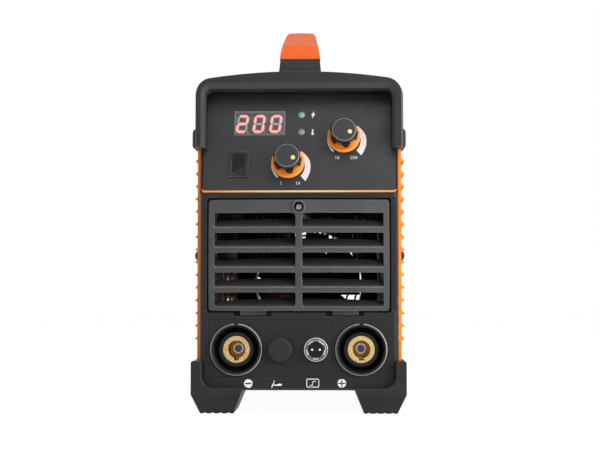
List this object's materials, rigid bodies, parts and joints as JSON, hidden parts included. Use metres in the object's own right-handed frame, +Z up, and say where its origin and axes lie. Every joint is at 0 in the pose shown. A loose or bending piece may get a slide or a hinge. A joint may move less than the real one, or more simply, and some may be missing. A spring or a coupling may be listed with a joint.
{
  "type": "TIG welding machine",
  "caption": "Portable inverter machine for TIG welding: louvred sheet cover, moulded hooded ends, bumper feet, carrying handle, control panel, vent grille and output sockets.",
  "frame": {"origin": "on the ground under the middle of the machine", "axes": "+Z up, front panel faces -Y, +X to the right seen from the front"},
  "size_m": [0.1686, 0.4174, 0.3139],
  "materials": {
    "cover_paint": "satin orange powder coat",
    "grip_plastic": "fine grained orange moulding",
    "bumper_plastic": "charcoal moulding, fine spark texture",
    "panel_plastic": "black moulding",
    "fascia_film": "dark grey overlay film",
    "stripe_paint": "orange trim",
    "window_smoke": "smoked window",
    "module_black": "display module body",
    "lamp_green": "green lamp lens",
    "lamp_grey": "clear lamp lens, unlit",
    "switch_black": "black switch moulding",
    "mains_red": "red mains rocker",
    "knob_black": "black knob moulding",
    "skirt_orange": "orange skirt moulding",
    "socket_black": "phenolic socket shell",
    "contact_brass": "turned brass",
    "zinc_steel": "zinc plated",
    "black_steel": "black oxide",
    "nickel_chrome": "bright plated",
    "sheet_steel": "galvanised sheet",
    "circuit_board": "solder resist",
    "capacitor_sleeve": "shrunk sleeve",
    "sink_aluminium": "extruded",
    "ferrite": "ferrite and windings",
    "copper_bar": "bare copper",
    "starter_resin": "dipped coil and block",
    "valve_brass": "machined body with a black coil",
    "hose_rubber": "smooth hose",
    "fan_black": "fan moulding",
    "gland_black": "nylon gland"
  },
  "bodies": {
    "case": {"wrap_cover": "cover_paint", "base_pan": "sheet_steel", "case_screws": "black_steel", "front_bezel": "panel_plastic", "front_hood": "bumper_plastic", "rear_panel": "panel_plastic", "rear_hood": "bumper_plastic", "front_foot_left": "bumper_plastic", "front_foot_right": "bumper_plastic", "rear_foot_left": "bumper_plastic", "rear_foot_right": "bumper_plastic", "handle_frame": "panel_plastic", "handle_grip": "grip_plastic", "mount_bolts": "zinc_steel", "control_fascia": "fascia_film", "fascia_stripe": "stripe_paint", "display_module": "module_black", "display_window": "window_smoke", "power_lamp": "lamp_green", "fault_lamp": "lamp_grey", "control_board": "circuit_board", "mode_switch_frame": "switch_black", "current_control": "zinc_steel", "gas_control": "zinc_steel", "vent_grille": "panel_plastic", "grille_screw": "nickel_chrome", "connector_plate": "panel_plastic", "negative_shell": "socket_black", "negative_contact": "contact_brass", "positive_shell": "socket_black", "positive_contact": "contact_brass", "contact_bolts": "zinc_steel", "gas_outlet": "contact_brass", "torch_socket_shell": "nickel_chrome", "torch_socket_insert": "socket_black", "torch_socket_pins": "nickel_chrome", "tunnel_frame": "sheet_steel", "power_board": "circuit_board", "power_capacitors": "capacitor_sleeve", "heat_sinks": "sink_aluminium", "main_transformer": "ferrite", "output_choke": "ferrite", "output_leads": "copper_bar", "arc_starter": "starter_resin", "gas_valve": "valve_brass", "gas_hose": "hose_rubber", "fan_frame": "fan_black", "mains_switch_frame": "switch_black", "cable_gland": "gland_black", "gas_inlet": "contact_brass"},
    "current_dial": {"current_shaft": "zinc_steel", "current_knob": "knob_black", "current_skirt": "skirt_orange"},
    "gas_dial": {"gas_shaft": "zinc_steel", "gas_knob": "knob_black", "gas_skirt": "skirt_orange"},
    "mode_rocker": {"mode_rocker": "switch_black"},
    "mains_rocker": {"mains_rocker": "mains_red"},
    "fan_rotor": {"fan_rotor": "fan_black"},
    "gas_cap": {"gas_outlet_cap": "knob_black"}
  },
  "joints": [
    {"name": "current_knob_turn", "type": "hinge", "parent": "case", "child": "current_dial", "pos_m": [0.0354, -0.18329, 0.21663], "axis": [0, -0.9848, 0.1736], "range_deg": [-150, 150]},
    {"name": "gas_knob_turn", "type": "hinge", "parent": "case", "child": "gas_dial", "pos_m": [-0.0087, -0.1869, 0.19614], "axis": [0, -0.9848, 0.1736], "range_deg": [-150, 150]},
    {"name": "mode_rocker_tilt", "type": "hinge", "parent": "case", "child": "mode_rocker", "pos_m": [-0.0476, -0.186, 0.19436], "axis": [1, 0, 0], "range_deg": [-18, 0]},
    {"name": "mains_rocker_tilt", "type": "hinge", "parent": "case", "child": "mains_rocker", "pos_m": [0.034, 0.18292, 0.20488], "axis": [1, 0, 0], "range_deg": [0, 18]},
    {"name": "fan_spin", "type": "hinge", "parent": "case", "child": "fan_rotor", "pos_m": [0, 0.17, 0.1037], "axis": [0, 1, 0], "continuous": true},
    {"name": "gas_cap_pull", "type": "slide", "parent": "case", "child": "gas_cap", "axis": [0, -1, 0], "range_m": [0, 0.012]}
  ]
}
